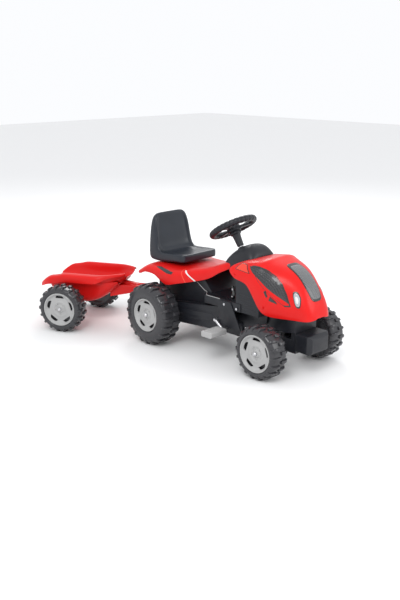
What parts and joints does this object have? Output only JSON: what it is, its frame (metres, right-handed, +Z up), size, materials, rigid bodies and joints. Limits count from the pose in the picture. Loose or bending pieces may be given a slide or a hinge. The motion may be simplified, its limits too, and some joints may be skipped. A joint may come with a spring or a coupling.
{
  "type": "ride-on toy tractor",
  "caption": "Child's ride-on pedal tractor with steering front wheels, chain drive and a hitched two-wheel tub trailer.",
  "frame": {"origin": "centre of the base of the whole object's box, on the ground, with the trailer turned as at rest", "axes": "+X forward along the tractor, +Y to the driver's left, +Z up"},
  "size_m": [1.5044, 0.7268, 0.5993],
  "materials": {
    "red_plastic": "glossy moulded plastic",
    "charcoal_plastic": "satin moulded plastic",
    "tyre_plastic": "hard blow-moulded plastic, slightly glossy",
    "grey_plastic": "satin moulded plastic",
    "steel": "bright zinc-plated steel",
    "mesh_grey": "grey mesh print under clear lacquer",
    "window_black": "black mesh print",
    "vent_red": "glossy red insert",
    "lamp_clear": "silvered lamp insert",
    "bush_white": "white bearing plastic"
  },
  "bodies": {
    "chassis": {"bracket_bolts": "steel", "chain": "steel", "chain_case": "charcoal_plastic", "chassis_tub": "charcoal_plastic", "column_bush": "bush_white", "crank_bracket_left": "charcoal_plastic", "crank_bracket_right": "charcoal_plastic", "crank_bushes": "bush_white", "dashboard_cover": "charcoal_plastic", "front_axle_beam": "steel", "front_weight": "charcoal_plastic", "grille_frame": "charcoal_plastic", "grille_panel": "mesh_grey", "headlamps": "lamp_clear", "hitch_bracket": "steel", "hitch_pin": "steel", "hood_screws": "red_plastic", "hood_shell": "red_plastic", "rear_axle_bushes": "bush_white", "rear_body": "red_plastic", "seat": "charcoal_plastic", "side_windows": "window_black", "upper_bush": "bush_white", "upper_vents": "vent_red"},
    "crank": {"crank_shaft": "steel", "chainring": "steel"},
    "pedal_right": {"pedal_right": "grey_plastic"},
    "pedal_left": {"pedal_left": "grey_plastic"},
    "rear_wheels": {"rear_axle": "steel", "rear_sprocket": "steel", "rear_left_tyre": "tyre_plastic", "rear_left_rim": "grey_plastic", "rear_left_cap": "steel", "rear_right_tyre": "tyre_plastic", "rear_right_rim": "grey_plastic", "rear_right_cap": "steel"},
    "steering": {"steering_wheel": "charcoal_plastic", "steering_collar": "charcoal_plastic", "steering_shaft": "steel"},
    "horn": {"horn_button": "charcoal_plastic"},
    "track_rod": {"tie_rod": "steel"},
    "knuckle_right": {"knuckle_right": "steel", "kingpin_right": "steel", "front_right_cap": "steel"},
    "knuckle_left": {"knuckle_left": "steel", "kingpin_left": "steel", "front_left_cap": "steel"},
    "front_wheel_right": {"front_right_tyre": "tyre_plastic", "front_right_rim": "grey_plastic"},
    "front_wheel_left": {"front_left_tyre": "tyre_plastic", "front_left_rim": "grey_plastic"},
    "trailer": {"trailer_tub": "red_plastic", "trailer_brackets": "steel", "trailer_axle": "steel", "trailer_right_cap": "steel", "trailer_left_cap": "steel"},
    "trailer_wheel_right": {"trailer_right_tyre": "tyre_plastic", "trailer_right_rim": "grey_plastic"},
    "trailer_wheel_left": {"trailer_left_tyre": "tyre_plastic", "trailer_left_rim": "grey_plastic"}
  },
  "joints": [
    {"name": "rear_axle_spin", "type": "hinge", "parent": "chassis", "child": "rear_wheels", "pos_m": [-0.02177, 0.10985, 0.136], "axis": [0, 1, 0], "continuous": true},
    {"name": "crank_spin", "type": "hinge", "parent": "chassis", "child": "crank", "pos_m": [0.31922, 0.10985, 0.172], "axis": [0, 1, 0], "continuous": true},
    {"name": "pedal_right_spin", "type": "hinge", "parent": "crank", "child": "pedal_right", "pos_m": [0.36257, -0.09215, 0.13814], "axis": [0, 1, 0], "continuous": true},
    {"name": "pedal_left_spin", "type": "hinge", "parent": "crank", "child": "pedal_left", "pos_m": [0.27588, 0.31185, 0.20586], "axis": [0, 1, 0], "continuous": true},
    {"name": "steering_turn", "type": "hinge", "parent": "chassis", "child": "steering", "pos_m": [0.26903, 0.10985, 0.5371], "axis": [-0.5299, 0, 0.848], "range_deg": [-40, 40]},
    {"name": "horn_press", "type": "slide", "parent": "steering", "child": "horn", "axis": [0.5299, 0, -0.848], "range_m": [0, 0.003], "stiffness_N_per_m": 300},
    {"name": "track_rod_slide", "type": "slide", "parent": "chassis", "child": "track_rod", "axis": [0, 1, 0], "range_m": [-0.031, 0.031]},
    {"name": "knuckle_right_turn", "type": "hinge", "parent": "chassis", "child": "knuckle_right", "pos_m": [0.60323, -0.01215, 0.11], "axis": [0, 0, 1], "range_deg": [-23.1, 23.1]},
    {"name": "front_wheel_right_spin", "type": "hinge", "parent": "knuckle_right", "child": "front_wheel_right", "pos_m": [0.60323, -0.07365, 0.11], "axis": [0, 1, 0], "continuous": true},
    {"name": "knuckle_left_turn", "type": "hinge", "parent": "chassis", "child": "knuckle_left", "pos_m": [0.60323, 0.23185, 0.11], "axis": [0, 0, 1], "range_deg": [-23.1, 23.1]},
    {"name": "front_wheel_left_spin", "type": "hinge", "parent": "knuckle_left", "child": "front_wheel_left", "pos_m": [0.60323, 0.29335, 0.11], "axis": [0, 1, 0], "continuous": true},
    {"name": "trailer_turn", "type": "hinge", "parent": "chassis", "child": "trailer", "pos_m": [-0.15177, 0.10985, 0.176], "axis": [0, 0, 1], "range_deg": [-78, 22]},
    {"name": "trailer_wheel_right_spin", "type": "hinge", "parent": "trailer", "child": "trailer_wheel_right", "pos_m": [-0.44551, -0.28134, 0.11], "axis": [-0.4695, 0.8829, 0], "continuous": true},
    {"name": "trailer_wheel_left_spin", "type": "hinge", "parent": "trailer", "child": "trailer_wheel_left", "pos_m": [-0.64034, 0.08509, 0.11], "axis": [-0.4695, 0.8829, 0], "continuous": true}
  ],
  "couplings": [
    {"joint": "crank_spin", "follows": "rear_axle_spin", "ratio": 0.7},
    {"joint": "track_rod_slide", "follows": "steering_turn", "m_per_rad": -0.043},
    {"joint": "knuckle_right_turn", "follows": "steering_turn", "ratio": 0.575},
    {"joint": "knuckle_left_turn", "follows": "steering_turn", "ratio": 0.575}
  ]
}
